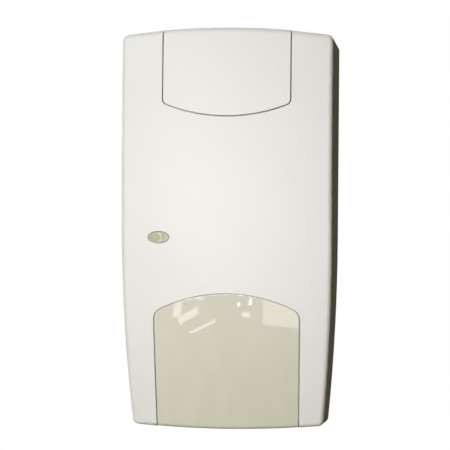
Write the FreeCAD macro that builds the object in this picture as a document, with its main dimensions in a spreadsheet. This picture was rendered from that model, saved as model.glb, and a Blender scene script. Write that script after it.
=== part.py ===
import FreeCAD, Part
import math
import os
import types

import Sketcher

# Curtain motion detector for a wall: a moulded housing on a tray-shaped rear base, with faceted mirror
# optics inside.
# X points right as seen from the front, Z points up, and the wall is the plane y = 0, with the front
# towards -Y.
# The origin is the middle of the back face. A depth is the distance in front of the wall, so y = -depth.
# All sizes are in millimetres and all angles in degrees.
SIZES = {
    # Outline of the housing, seen from the front.
    "body_height": 125.6,
    "body_width": 66.2,
    "top_arc": 250.0,
    "bottom_arc": 320.0,
    "side_arc": 600.0,
    "side_arc_start": -2.0,
    "corner_round": 2.0,
    # Front face: one large arc upright, a flatter one across, and a rounded rim.
    "body_depth": 50.0,
    "crown_level": 42.0,
    "crown_upright": 390.0,
    "crown_across": 260.0,
    "front_round": 1.5,
    "least_round": 0.4,
    "wall": 2.0,
    # Rear base: a tray with bevelled sides, so that it also fits into a room corner.
    "base_depth": 13.0,
    "base_floor": 2.0,
    "base_bevel": 12.0,
    "lip_rise": 2.5,
    "lip_wall": 1.4,
    "shell_gap": 0.2,
    "shut_line": 0.25,
    "wall_screw_spacing": 112.0,
    "wall_screw_bore": 2.1,
    "cable_entry_width": 10.0,
    "cable_entry_height": 8.0,
    "cable_entry_offset": 14.0,
    "cable_entry_level": 50.0,
    "knockout_radius": 2.6,
    "knockout_web": 0.7,
    "knockout_level": 30.0,
    "catch_width": 7.4,
    "catch_offset": 15.0,
    "catch_thick": 1.4,
    "catch_depth": 18.0,
    "catch_length": 2.2,
    "catch_nose": 1.5,
    "catch_gap": 0.4,
    "catch_arm_gap": 0.6,
    # Insert that clips over the cover screw.
    "insert_width": 40.1,
    "insert_low": 35.2,
    "insert_arc": 51.9,
    "insert_corner": 2.0,
    "insert_wrap": 15.0,
    "insert_thick": 1.8,
    "insert_gap": 0.35,
    "insert_proud": 0.15,
    "insert_seat_gap": 0.2,
    "recess_floor": 1.6,
    "insert_leg_width": 5.0,
    "insert_leg_thick": 1.4,
    "insert_leg_reach": 4.5,
    "insert_leg_offset": 13.0,
    "insert_leg_level": 51.0,
    "insert_leg_gap": 0.3,
    # Window in front of the mirror.
    "window_top_width": 46.0,
    "window_low_width": 44.6,
    "window_arch_level": -20.1,
    "window_arch": 47.6,
    "window_corner": 3.5,
    "window_wrap": 24.0,
    "window_thick": 1.0,
    "window_sink": 0.1,
    "window_gap": 0.3,
    "window_arch_gap": 0.12,
    "window_ledge": 1.6,
    "window_seat_gap": 0.05,
    # Cover screw, its well in the housing and its pillar on the base.
    "cover_screw_level": 47.0,
    "well_radius": 4.9,
    "well_bore": 3.4,
    "well_web": 3.0,
    "pillar_radius": 4.2,
    "pillar_depth": 16.0,
    "screw_radius": 1.5,
    "screw_gap": 0.25,
    "thread_gap": 0.075,
    "pilot_spare": 0.5,
    "screw_reach": 8.0,
    "screw_head": 2.9,
    "screw_head_rise": 2.0,
    "driver_slot": 0.8,
    "driver_slot_depth": 0.8,
    # Circuit board and how it is held.
    "board_side_gap": 0.27,
    "board_low": -10.0,
    "board_high": 40.0,
    "board_depth": 8.0,
    "board_thick": 1.6,
    "board_corner": 1.5,
    "post_radius": 2.6,
    "post_offset": 20.5,
    "post_upper": 36.0,
    "post_lower": -6.0,
    "board_screw": 1.2,
    "board_screw_head": 2.2,
    "board_screw_rise": 1.4,
    "board_screw_bite": 4.0,
    "board_hook_level": 14.0,
    "board_hook_width": 6.0,
    "hook_nose": 0.9,
    "hook_rise": 1.1,
    "hook_gap": 0.1,
    "hook_wall": 1.2,
    # Mirror: facets that share one focus, each turned down by its own angle.
    "focus_setback": 17.0,
    "focus_level": -12.0,
    "mirror_back": 5.0,
    "mirror_front": 14.0,
    "mirror_face": 9.8,
    "mirror_top": -13.6,
    "mirror_bottom": -51.0,
    "mirror_width": 25.0,
    "mirror_rim": 1.2,
    "mirror_web": 3.6,
    "mirror_pocket_rim": 2.6,
    "facet_first_sight": 10.0,
    "facet_last_sight": 57.0,
    "zone_far": 2.0,
    "zone_ratio": 1.93,
    "mirror_rail": 1.6,
    "mirror_hook_level": -32.0,
    "mirror_hook_width": 8.0,
    # Sensor can and its bracket.
    "sensor_tilt": 36.0,
    "can_radius": 4.1,
    "can_height": 4.2,
    "can_flange": 4.6,
    "can_flange_thick": 0.5,
    "filter_width": 4.6,
    "filter_length": 3.4,
    "filter_thick": 0.4,
    "filter_gap": 0.1,
    "leg_circle": 2.5,
    "leg_radius": 0.25,
    "leg_length": 3.6,
    "leg_gap": 0.15,
    "bracket_plate": 13.0,
    "bracket_plate_thick": 2.5,
    "bracket_arm_width": 10.0,
    "bracket_arm_low": -5.0,
    "bracket_arm_high": -1.0,
    "bracket_foot_width": 14.0,
    "bracket_foot_low": -8.0,
    "bracket_foot_high": 5.0,
    "bracket_foot_thick": 2.0,
    # Lens and lamp.
    "lens_x": -21.2,
    "lens_level": -2.6,
    "lens_half_width": 3.3,
    "lens_half_height": 1.75,
    "lens_gap": 0.1,
    "lens_flange": 0.8,
    "lens_flange_setback": 7.2,
    "lens_flange_thick": 0.9,
    "guide_x": -22.3,
    "guide_radius": 1.4,
    "guide_gap": 0.4,
    "lamp_radius": 1.5,
    "lamp_height": 3.4,
    "lamp_flange": 1.8,
    "lamp_flange_thick": 0.8,
    # Terminal strip.
    "terminal_count": 7,
    "terminal_pitch": 3.8,
    "terminal_left": -24.4,
    "terminal_low": 31.0,
    "terminal_high": 39.4,
    "terminal_rise": 9.0,
    "terminal_step": 5.6,
    "terminal_ledge": 1.5,
    "wire_hole": 2.6,
    "wire_hole_floor": 1.0,
    "wire_hole_rise": 3.0,
    "wire_hole_reach": 4.6,
    "clamp_screw": 1.25,
    "clamp_screw_gap": 0.1,
    "clamp_screw_sink": 0.5,
    "clamp_screw_bite": 0.5,
    "clamp_slot": 0.4,
    "clamp_slot_depth": 1.0,
    # Tamper switch.
    "switch_left": 8.0,
    "switch_right": 20.8,
    "switch_low": 24.0,
    "switch_high": 30.0,
    "switch_rise": 6.5,
    "plunger_radius": 0.9,
    "plunger_rise": 0.8,
    "plunger_bore": 1.6,
    "plunger_x": 12.0,
    "lever_thick": 0.3,
    "lever_root": 0.6,
    "lever_width": 3.6,
    "lever_gap": 0.1,
    "press_post_radius": 2.0,
    "press_post_x": 17.5,
    # Parts on the board.
    "relay_left": -24.0,
    "relay_right": -9.0,
    "relay_low": 15.0,
    "relay_high": 23.0,
    "relay_rise": 10.0,
    "chip_round": 0.4,
    "processor_x": 1.0,
    "processor_level": 18.5,
    "processor_side": 7.0,
    "processor_rise": 1.4,
    "processor_leads": 8,
    "amplifier_x": 15.5,
    "amplifier_level": -3.0,
    "amplifier_width": 4.9,
    "amplifier_length": 3.9,
    "amplifier_leads": 4,
    "lead_width": 0.35,
    "lead_reach": 1.0,
    "lead_thick": 0.2,
    "lead_pitch": 0.8,
    "lead_bite": 0.3,
    "large_can_radius": 3.15,
    "large_can_height": 8.0,
    "large_can_x": 13.0,
    "small_can_radius": 2.5,
    "small_can_height": 6.0,
    "small_can_x": 20.6,
    "left_can_x": -15.5,
    "can_row_level": 15.3,
    "can_round": 0.4,
    "header_x": 16.5,
    "header_level": 5.0,
    "header_rise": 2.5,
    "header_pitch": 2.54,
    "pin_side": 0.64,
    "pin_rise": 8.5,
    "jumper_depth": 0.3,
    "jumper_rise": 5.6,
    "jumper_gap": 0.2,
    "crystal_left": -8.5,
    "crystal_right": 2.5,
    "crystal_level": 9.0,
    "crystal_height": 4.0,
    "crystal_rise": 3.5,
    "crystal_round": 1.3,
    "regulator_x": 8.0,
    "regulator_level": 9.5,
    "regulator_width": 4.5,
    "regulator_length": 2.6,
    "regulator_rise": 1.5,
    "small_part_length": 2.0,
    "small_part_width": 1.25,
    "small_part_rise": 0.6,
    "small_part_pitch": 3.0,
    "upper_row_left": -21.6,
    "upper_row_level": 26.0,
    "upper_row_count": 6,
    "lower_row_left": -22.8,
    "lower_row_level": 9.8,
    "lower_row_count": 2,
    "single_part_x": 9.0,
    "single_part_level": -7.0,
}

doc = FreeCAD.newDocument("motion_detector")


# Sheet and bound sizes


def text_of(value):
    return value.text if isinstance(value, Size) else repr(float(value))


def number_of(value):
    return value.number if isinstance(value, Size) else float(value)


class Size:
    """A number that keeps the sheet expression it comes from, so that a feature can be bound to it."""

    def __init__(self, text, number):
        self.text = text
        self.number = number

    def __add__(self, other):
        return Size(f"({self.text} + {text_of(other)})", self.number + number_of(other))

    def __radd__(self, other):
        return Size(f"({text_of(other)} + {self.text})", number_of(other) + self.number)

    def __sub__(self, other):
        return Size(f"({self.text} - {text_of(other)})", self.number - number_of(other))

    def __rsub__(self, other):
        return Size(f"({text_of(other)} - {self.text})", number_of(other) - self.number)

    def __mul__(self, other):
        return Size(f"({self.text} * {text_of(other)})", self.number * number_of(other))

    def __rmul__(self, other):
        return self * other

    def __truediv__(self, other):
        return Size(f"({self.text} / {text_of(other)})", self.number / number_of(other))

    def __neg__(self):
        return Size(f"(0 - {self.text})", -self.number)


def sine(angle):
    return Size(f"sin({angle.text} * 1 deg)", math.sin(math.radians(angle.number)))


def cosine(angle):
    return Size(f"cos({angle.text} * 1 deg)", math.cos(math.radians(angle.number)))


def rounded_by(radius, inset):
    """What is left of an outer radius once its surface has moved inwards, never less than the least round."""
    left = radius - inset
    return Size(f"max({left.text}; Sizes.least_round)", max(left.number, SIZES["least_round"]))


def write_sheet():
    sheet = doc.addObject("Spreadsheet::Sheet", "Sizes")
    for row, (name, value) in enumerate(SIZES.items(), start=1):
        sheet.set(f"A{row}", name)
        sheet.set(f"B{row}", str(value))
        sheet.setAlias(f"B{row}", name)
    doc.recompute()
    return sheet


sheet = write_sheet()
S = types.SimpleNamespace(**{name: Size(f"Sizes.{name}", float(value)) for name, value in SIZES.items()})


def bind(item, path, value):
    item.setExpression(path, text_of(value))


# Primitives and booleans, placed by their spans


def block(name, x_span, depth_span, z_span):
    item = doc.addObject("Part::Box", name)
    bind(item, "Length", x_span[1] - x_span[0])
    bind(item, "Width", depth_span[1] - depth_span[0])
    bind(item, "Height", z_span[1] - z_span[0])
    bind(item, "Placement.Base.x", x_span[0])
    bind(item, "Placement.Base.y", -depth_span[1])
    bind(item, "Placement.Base.z", z_span[0])
    return item


def centred(middle, width):
    return (middle - width / 2, middle + width / 2)


def rod(name, x, z, depth_span, radius):
    """A cylinder square to the wall."""
    item = doc.addObject("Part::Cylinder", name)
    item.Placement.Rotation = FreeCAD.Rotation(FreeCAD.Vector(1, 0, 0), -90)
    bind(item, "Radius", radius)
    bind(item, "Height", depth_span[1] - depth_span[0])
    bind(item, "Placement.Base.x", x)
    bind(item, "Placement.Base.y", -depth_span[1])
    bind(item, "Placement.Base.z", z)
    return item


def fuse(name, *items):
    item = doc.addObject("Part::MultiFuse", name)
    item.Shapes = list(items)
    return item


def common(name, *items):
    item = doc.addObject("Part::MultiCommon", name)
    item.Shapes = list(items)
    return item


def cut(name, base, *tools):
    item = doc.addObject("Part::Cut", name)
    item.Base = base
    item.Tool = tools[0] if len(tools) == 1 else fuse(f"{name}_tools", *tools)
    return item


# Sketches and bodies


# Lengths under TOUCH count as none, and a wall edge is longer than LEAST_WALL.
TOUCH = 0.001
LEAST_WALL = 0.5


def new_body(name):
    return doc.addObject("PartDesign::Body", name)


def add_sketch(body, name, role, offset=None):
    sketch = body.newObject("Sketcher::SketchObject", name)
    plane = next(item for item in body.Origin.OriginFeatures if item.Role == role)
    sketch.AttachmentSupport = [(plane, "")]
    sketch.MapMode = "FlatFace"
    if offset is not None:
        bind(sketch, "AttachmentOffset.Base.z", offset)
    return sketch


def constrain(sketch, value, *reference):
    index = sketch.addConstraint(Sketcher.Constraint(*reference, number_of(value)))
    if isinstance(value, Size):
        sketch.setExpression(f"Constraints[{index}]", value.text)


def fix_point(sketch, geometry, point, x, y):
    constrain(sketch, x, "DistanceX", -1, 1, geometry, point)
    constrain(sketch, y, "DistanceY", -1, 1, geometry, point)


def flat_vector(x, y):
    return FreeCAD.Vector(number_of(x), number_of(y), 0)


def join_loop(sketch, first, count):
    for step in range(count):
        following = first + (step + 1) % count
        sketch.addConstraint(Sketcher.Constraint("Coincident", first + step, 2, following, 1))


def polygon(sketch, corners):
    first = sketch.GeometryCount
    for step, corner in enumerate(corners):
        following = corners[(step + 1) % len(corners)]
        sketch.addGeometry(Part.LineSegment(flat_vector(*corner), flat_vector(*following)), False)
    join_loop(sketch, first, len(corners))
    for step, corner in enumerate(corners):
        fix_point(sketch, first + step, 1, *corner)


def rectangle(sketch, x_span, y_span):
    low, high = x_span
    bottom, top = y_span
    polygon(sketch, [(low, bottom), (high, bottom), (high, top), (low, top)])


def circle(sketch, x, y, radius):
    whole = Part.Circle(flat_vector(x, y), FreeCAD.Vector(0, 0, 1), number_of(radius))
    index = sketch.addGeometry(whole, False)
    fix_point(sketch, index, 3, x, y)
    constrain(sketch, radius, "Radius", index)


def arc(sketch, x, y, radius, start, end):
    """An arc about a fixed centre. Its ends, rough angles in radians, are settled by what they join."""
    whole = Part.Circle(flat_vector(x, y), FreeCAD.Vector(0, 0, 1), number_of(radius))
    index = sketch.addGeometry(Part.ArcOfCircle(whole, start, end), False)
    fix_point(sketch, index, 3, x, y)
    constrain(sketch, radius, "Radius", index)
    return index


def pad(body, sketch, length, name):
    feature = body.newObject("PartDesign::Pad", name)
    feature.Profile = sketch
    bind(feature, "Length", length)
    return feature


def edge_names(shape, wanted):
    return [f"Edge{index}" for index, edge in enumerate(shape.Edges, start=1) if wanted(edge)]


def round_edges(body, base, wanted, radius, name):
    doc.recompute()
    feature = body.newObject("PartDesign::Fillet", name)
    feature.Base = (base, edge_names(base.Shape, wanted))
    bind(feature, "Radius", radius)
    return feature


def is_square_to_wall(edge):
    ends = [vertex.Point for vertex in edge.Vertexes]
    if len(ends) != 2:
        return False
    run = ends[1] - ends[0]
    return abs(run.y) > LEAST_WALL and math.hypot(run.x, run.z) < TOUCH


# Shared forms of the housing


HALF_WIDTH = S.body_width / 2
HALF_HEIGHT = S.body_height / 2
# How far a cutting form runs past the whole body, how far a small cutter runs past a face, and the angle
# of the crown's sweep.
MARGIN = 5.0
PAST = 1.0
CROWN_SWEEP = 60.0


def outline_sketch(body, name, inset, depth):
    """The outline moved inwards by inset: a top and a bottom arc, straight upper and curved lower sides."""
    sketch = add_sketch(body, name, "XZ_Plane", depth)
    side = S.side_arc - inset
    half = number_of(HALF_WIDTH - inset)
    tall = number_of(HALF_HEIGHT - inset)
    top_angle = math.acos(half / number_of(S.top_arc - inset))
    low_angle = math.acos(half / number_of(S.bottom_arc - inset))
    side_angle = math.asin((tall + S.side_arc_start.number) / side.number)
    arc(sketch, 0, HALF_HEIGHT - S.top_arc, S.top_arc - inset, top_angle, math.pi - top_angle)
    left_side = Part.LineSegment(flat_vector(-half, tall), flat_vector(-half, S.side_arc_start))
    sketch.addGeometry(left_side, False)
    arc(sketch, S.side_arc - HALF_WIDTH, S.side_arc_start, side, math.pi, math.pi + side_angle)
    arc(sketch, 0, S.bottom_arc - HALF_HEIGHT, S.bottom_arc - inset, math.pi + low_angle, -low_angle)
    arc(sketch, HALF_WIDTH - S.side_arc, S.side_arc_start, side, -side_angle, 0)
    right_side = Part.LineSegment(flat_vector(half, S.side_arc_start), flat_vector(half, tall))
    sketch.addGeometry(right_side, False)
    join_loop(sketch, 0, 6)
    for line in (1, 5):
        sketch.addConstraint(Sketcher.Constraint("Vertical", line))
    for side_arc, start_point in ((2, 1), (4, 2)):
        constrain(sketch, S.side_arc_start, "DistanceY", -1, 1, side_arc, start_point)
    return sketch


def is_outline_corner(edge):
    middle = edge.CenterOfMass
    return is_square_to_wall(edge) and abs(middle.z) > SIZES["body_height"] / 4


def outline_body(name, inset, depth_span):
    """A straight prism on the front outline, with its four corners rounded."""
    body = new_body(name)
    sketch = outline_sketch(body, f"{name}_outline", inset, depth_span[0])
    prism = pad(body, sketch, depth_span[1] - depth_span[0], f"{name}_pad")
    round_edges(body, prism, is_outline_corner, rounded_by(S.corner_round, inset), f"{name}_corners")
    return body


def crown_sketch(body, name, inset):
    """What lies in front of the crowned face, in a level plane, with the axis that it is swept about."""
    sketch = add_sketch(body, name, "XY_Plane", S.crown_level)
    reach = HALF_WIDTH + MARGIN
    front = -2 * S.body_depth
    radius = S.crown_across - inset
    lean = math.asin(reach.number / radius.number)
    down = -math.pi / 2
    bend = arc(sketch, 0, S.crown_across - S.body_depth, radius, down - lean, down + lean)
    corners = [(reach, -S.body_depth), (reach, front), (-reach, front), (-reach, -S.body_depth)]
    for start, end in zip(corners, corners[1:]):
        sketch.addGeometry(Part.LineSegment(flat_vector(*start), flat_vector(*end)), False)
    join_loop(sketch, bend, 4)
    sketch.addConstraint(Sketcher.Constraint("Vertical", 1))
    sketch.addConstraint(Sketcher.Constraint("Horizontal", 2))
    sketch.addConstraint(Sketcher.Constraint("Vertical", 3))
    fix_point(sketch, 1, 2, reach, front)
    constrain(sketch, -reach, "DistanceX", -1, 1, 2, 2)
    axis_y = S.crown_upright - S.body_depth
    axis = sketch.addGeometry(Part.LineSegment(flat_vector(-reach, axis_y), flat_vector(reach, axis_y)), True)
    fix_point(sketch, axis, 1, -reach, axis_y)
    fix_point(sketch, axis, 2, reach, axis_y)
    return sketch


def is_front_rim(edge):
    """An edge of the crowned face, which no edge of the straight sides lies in front of."""
    in_front = all(vertex.Y < -SIZES["body_depth"] / 2 for vertex in edge.Vertexes)
    return in_front and not is_square_to_wall(edge)


def skin_body(name, inset, rear=None):
    """The whole outer form moved inwards by inset, from the rear depth to the crowned front."""
    body = new_body(name)
    start = S.base_depth + S.shut_line if rear is None else rear
    sketch = outline_sketch(body, f"{name}_outline", inset, start)
    prism = pad(body, sketch, S.body_depth + MARGIN - start, f"{name}_pad")
    crown = body.newObject("PartDesign::Groove", f"{name}_crown")
    crown.Profile = crown_sketch(body, f"{name}_arc", inset)
    crown.ReferenceAxis = (crown.Profile[0], ["Axis0"])
    crown.Angle = CROWN_SWEEP
    crown.Midplane = True
    corner_radius = rounded_by(S.corner_round, inset)
    corners = round_edges(body, crown, is_outline_corner, corner_radius, f"{name}_corners")
    round_edges(body, corners, is_front_rim, rounded_by(S.front_round, inset), f"{name}_rim")
    return body


def is_panel_corner(edge):
    return is_square_to_wall(edge) and abs(edge.CenterOfMass.z) < HALF_HEIGHT.number


def panel_form(name, centre, radius, upwards, near_half, far_half, corner_round, rear):
    """An outline with an arc at one end and straight sides that run out past the housing at the other."""
    body = new_body(name)
    sketch = add_sketch(body, f"{name}_outline", "XZ_Plane", rear)
    facing = 1 if upwards else -1
    lean = math.asin(near_half.number / radius.number)
    middle = facing * math.pi / 2
    arc(sketch, 0, centre, radius, middle - lean, middle + lean)
    near_level = centre.number + facing * radius.number * math.cos(lean)
    far_level = -facing * (HALF_HEIGHT + MARGIN)
    near_x, far_x = -facing * near_half, -facing * far_half
    points = [(near_x, near_level), (far_x, far_level), (-far_x, far_level), (-near_x, near_level)]
    for start, end in zip(points, points[1:]):
        sketch.addGeometry(Part.LineSegment(flat_vector(*start), flat_vector(*end)), False)
    join_loop(sketch, 0, 4)
    constrain(sketch, near_x, "DistanceX", -1, 1, 0, 2)
    constrain(sketch, -near_x, "DistanceX", -1, 1, 0, 1)
    fix_point(sketch, 1, 2, far_x, far_level)
    fix_point(sketch, 2, 2, -far_x, far_level)
    prism = pad(body, sketch, S.body_depth + MARGIN - rear, f"{name}_pad")
    round_edges(body, prism, is_panel_corner, corner_round, f"{name}_corners")
    return body


def insert_form(name, grow, rear):
    """The insert's outline, made larger all round by grow: parallel sides and an arc that bows down."""
    half = S.insert_width / 2 + grow
    centre = S.insert_low + S.insert_arc
    return panel_form(name, centre, S.insert_arc + grow, False, half, half, S.insert_corner + grow, rear)


def window_form(name, grow, arch_grow, rear):
    """The window's outline, made larger by grow: an arched top and sides that close in towards the bottom."""
    upper = S.window_top_width / 2 + grow
    lower = S.window_low_width / 2 + grow
    centre = S.window_arch_level - S.window_arch
    radius = S.window_arch + arch_grow
    return panel_form(name, centre, radius, True, upper, lower, S.window_corner + grow, rear)


def lens_form(name, grow, depth_span):
    """An upright prism on the lens's ellipse."""
    ellipse = doc.addObject("Part::Ellipse", f"{name}_ellipse")
    ellipse.Placement.Rotation = FreeCAD.Rotation(FreeCAD.Vector(1, 0, 0), 90)
    bind(ellipse, "MajorRadius", S.lens_half_width + grow)
    bind(ellipse, "MinorRadius", S.lens_half_height + grow)
    bind(ellipse, "Placement.Base.x", S.lens_x)
    bind(ellipse, "Placement.Base.y", -depth_span[0])
    bind(ellipse, "Placement.Base.z", S.lens_level)
    prism = doc.addObject("Part::Extrusion", name)
    prism.Base = ellipse
    prism.DirMode = "Custom"
    prism.Dir = FreeCAD.Vector(0, -1, 0)
    prism.Solid = True
    bind(prism, "LengthFwd", depth_span[1] - depth_span[0])
    return prism


pieces = []


def piece(item, label):
    item.Label = label
    pieces.append(item)
    return item


# Front housing, insert, window and lens


def board_front():
    return S.board_depth + S.board_thick


def well_span():
    return (S.pillar_depth, S.body_depth)


def lever_front():
    return board_front() + S.switch_rise + S.plunger_rise + S.lever_gap + S.lever_thick


def lens_flange_front():
    return S.body_depth - S.lens_flange_setback


def leg_span(side, grow):
    x = side * S.insert_leg_offset
    z_span = centred(S.insert_leg_level, S.insert_leg_thick + 2 * grow)
    return centred(x, S.insert_leg_width + 2 * grow), z_span


def make_housing(seat):
    outer = skin_body("housing_outer", 0)
    cavity = skin_body("housing_cavity", S.wall)
    recess_depth = S.insert_thick + S.insert_seat_gap
    recess = skin_body("recess_skin", recess_depth)
    floor = skin_body("recess_floor_skin", recess_depth + S.recess_floor)
    insert_rear = S.body_depth - S.insert_wrap
    recess_outline = insert_form("recess_outline", S.insert_gap / 2, insert_rear)
    floor_grow = S.insert_gap / 2 + S.recess_floor
    floor_outline = insert_form("floor_outline", floor_grow, insert_rear - S.recess_floor)
    hollow = cut("housing_hollow", cavity, cut("floor_block", floor_outline, floor))
    recess_cut = cut("recess_cut", recess_outline, recess)
    window_cut = window_form("window_cut", S.window_gap / 2, S.window_arch_gap / 2, S.window_wrap)
    window_recess = cut("window_recess", window_cut, seat)
    ledge = -S.window_ledge
    window_hole = window_form("window_hole", ledge, ledge, S.window_wrap + S.window_ledge)
    lens_hole = lens_form("lens_hole", S.lens_gap, (lens_flange_front(), S.body_depth + MARGIN))
    leg_holes = []
    for side, word in ((-1, "left"), (1, "right")):
        x_span, z_span = leg_span(side, S.insert_leg_gap)
        leg_holes.append(block(f"{word}_leg_hole", x_span, (insert_rear, S.body_depth + MARGIN), z_span))
    shell = cut("housing_shell", outer, hollow, recess_cut, window_recess, window_hole, lens_hole, *leg_holes)

    level = S.cover_screw_level
    well = common("well_solid", rod("well_rod", 0, level, well_span(), S.well_radius), recess)
    well_seat = S.pillar_depth + S.well_web
    well_bore = rod("well_bore_rod", 0, level, (well_seat, S.body_depth + MARGIN), S.well_bore)
    screw_span = (S.pillar_depth - PAST, well_seat + PAST)
    screw_way = rod("screw_way", 0, level, screw_span, S.screw_radius + S.screw_gap)
    switch_middle = (S.switch_low + S.switch_high) / 2
    press_span = (lever_front() + S.lever_gap, S.body_depth)
    press_rod = rod("press_rod", S.press_post_x, switch_middle, press_span, S.press_post_radius)
    press_post = common("press_post", press_rod, seat)

    catch_holes = []
    for side, word in ((-1, "left"), (1, "right")):
        x_span = centred(side * S.catch_offset, S.catch_width + 2 * S.catch_gap)
        depth_span = (S.catch_depth - S.catch_gap, S.catch_depth + S.catch_length + S.catch_gap)
        z_span = (-HALF_HEIGHT - MARGIN, -HALF_HEIGHT + S.wall + PAST)
        catch_holes.append(block(f"{word}_catch_hole", x_span, depth_span, z_span))
    whole = fuse("housing_whole", shell, well, press_post)
    housing = cut("front_housing_form", whole, well_bore, screw_way, *catch_holes)
    return piece(housing, "front_housing")


def make_insert(proud):
    rear = S.body_depth - S.insert_wrap + S.insert_gap
    outline = insert_form("insert_outline", -S.insert_gap / 2, rear)
    under = skin_body("insert_under", S.insert_thick)
    plate = cut("insert_plate", common("insert_block", outline, proud), under)
    legs = []
    for side, word in ((-1, "left"), (1, "right")):
        x_span, z_span = leg_span(side, 0)
        leg_depth = (S.body_depth - S.insert_thick - S.insert_leg_reach, S.body_depth)
        legs.append(common(f"{word}_leg", block(f"{word}_leg_block", x_span, leg_depth, z_span), proud))
    return piece(fuse("insert_form_whole", plate, *legs), "cover_insert")


def make_window(sunk, under):
    rear = S.window_wrap + S.window_gap
    outline = window_form("window_outline", -S.window_gap / 2, -S.window_arch_gap / 2, rear)
    return piece(cut("window_plate", common("window_block", outline, sunk), under), "optical_window")


def make_lens(proud):
    flange_front = lens_flange_front()
    head = common("lens_head", lens_form("lens_prism", 0, (flange_front, S.body_depth)), proud)
    flange = lens_form("lens_flange_form", S.lens_flange, (flange_front, flange_front + S.lens_flange_thick))
    lamp_top = board_front() + S.lamp_height + S.guide_gap
    stem = rod("lens_stem", S.guide_x, S.lens_level, (lamp_top, flange_front), S.guide_radius)
    return piece(fuse("lens_whole", head, flange, stem), "led_lens")


# Rear base


# The length of a 45 degree slant for each millimetre of its run.
SLANT = math.sqrt(2)


def bevel_form(name, shift):
    """Both 45 degree corners that are cut off the rear edges, moved inwards by shift."""
    body = new_body(name)
    sketch = add_sketch(body, f"{name}_outline", "XY_Plane", -S.body_height)
    edge = HALF_WIDTH - S.base_bevel - shift
    far = HALF_WIDTH + MARGIN
    run = far - edge
    for side in (1, -1):
        polygon(sketch, [(side * (edge - MARGIN), MARGIN), (side * far, -run), (side * far, MARGIN)])
    pad(body, sketch, 2 * S.body_height, f"{name}_pad")
    return body


def hook(name, x_inner, side, depth_span, z_span, nose):
    """An upright snap arm with a nose that reaches over the edge of what it holds."""
    arm_x = (x_inner, x_inner + S.hook_wall) if side > 0 else (-x_inner - S.hook_wall, -x_inner)
    nose_x = (x_inner - nose, x_inner + S.hook_wall) if side > 0 else (-x_inner - S.hook_wall, nose - x_inner)
    arm = block(f"{name}_arm", arm_x, depth_span, z_span)
    tip = block(f"{name}_nose", nose_x, (depth_span[1], depth_span[1] + S.hook_rise), z_span)
    return fuse(name, arm, tip)


def knockout(name, side, level):
    """A thin disc in the bevelled wall, pierced when the part is fixed into a room corner."""
    item = doc.addObject("Part::Cylinder", name)
    item.Placement.Rotation = FreeCAD.Rotation(FreeCAD.Vector(0, 0, 1), FreeCAD.Vector(side, 1, 0))
    bind(item, "Radius", S.knockout_radius)
    bind(item, "Height", S.base_bevel)
    sink = (S.wall - S.knockout_web) / SLANT
    middle = HALF_WIDTH - S.base_bevel / 2
    bind(item, "Placement.Base.x", side * (middle - sink))
    bind(item, "Placement.Base.y", -(S.base_bevel / 2 + sink))
    bind(item, "Placement.Base.z", level)
    return item


def board_half_width():
    """Half the board's width, which clears the 45 degree walls beside its rear face."""
    return HALF_WIDTH - S.base_bevel - S.wall * SLANT + S.board_depth - S.board_side_gap


def mirror_hook(side, word):
    x_inner = S.mirror_width / 2 + S.hook_gap
    depth_span = (S.base_floor / 2, S.mirror_front + S.hook_gap)
    z_span = centred(S.mirror_hook_level, S.mirror_hook_width)
    return hook(f"{word}_mirror_hook", x_inner, side, depth_span, z_span, S.hook_nose)


def board_hook(side, word):
    x_inner = board_half_width() + S.hook_gap
    depth_span = (S.board_depth / 2, board_front() + S.hook_gap)
    z_span = centred(S.board_hook_level, S.board_hook_width)
    return hook(f"{word}_board_hook", x_inner, side, depth_span, z_span, S.hook_nose)


def catch(side, word):
    """A snap arm inside the bottom wall, with a nose that points down into the housing's catch hole."""
    x_span = centred(side * S.catch_offset, S.catch_width)
    low = -HALF_HEIGHT + S.wall + S.catch_arm_gap
    high = low + S.catch_thick
    front = S.catch_depth + S.catch_length
    arm = block(f"{word}_catch_arm", x_span, (S.base_depth - S.lip_rise, front), (low, high))
    nose = block(f"{word}_catch_nose", x_span, (S.catch_depth, front), (low - S.catch_nose, high))
    return [arm, nose]


def make_tray():
    outer = outline_body("base_outer", 0, (0, S.base_depth))
    inner = outline_body("base_inner", S.wall, (S.base_floor, S.base_depth + PAST))
    tray = cut("base_tray", outer, bevel_form("base_bevels", 0))
    hollow = cut("base_hollow", inner, bevel_form("inner_bevels", S.wall * SLANT))
    lip_inset = S.wall + S.shell_gap
    lip_rear, lip_front = S.base_depth - S.lip_rise, S.base_depth + S.lip_rise
    lip_outer = outline_body("lip_outer", lip_inset, (lip_rear, lip_front))
    lip_inner = outline_body("lip_inner", lip_inset + S.lip_wall, (lip_rear - PAST, lip_front + PAST))
    return [cut("base_shell", tray, hollow), cut("base_lip", lip_outer, lip_inner)]


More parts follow.
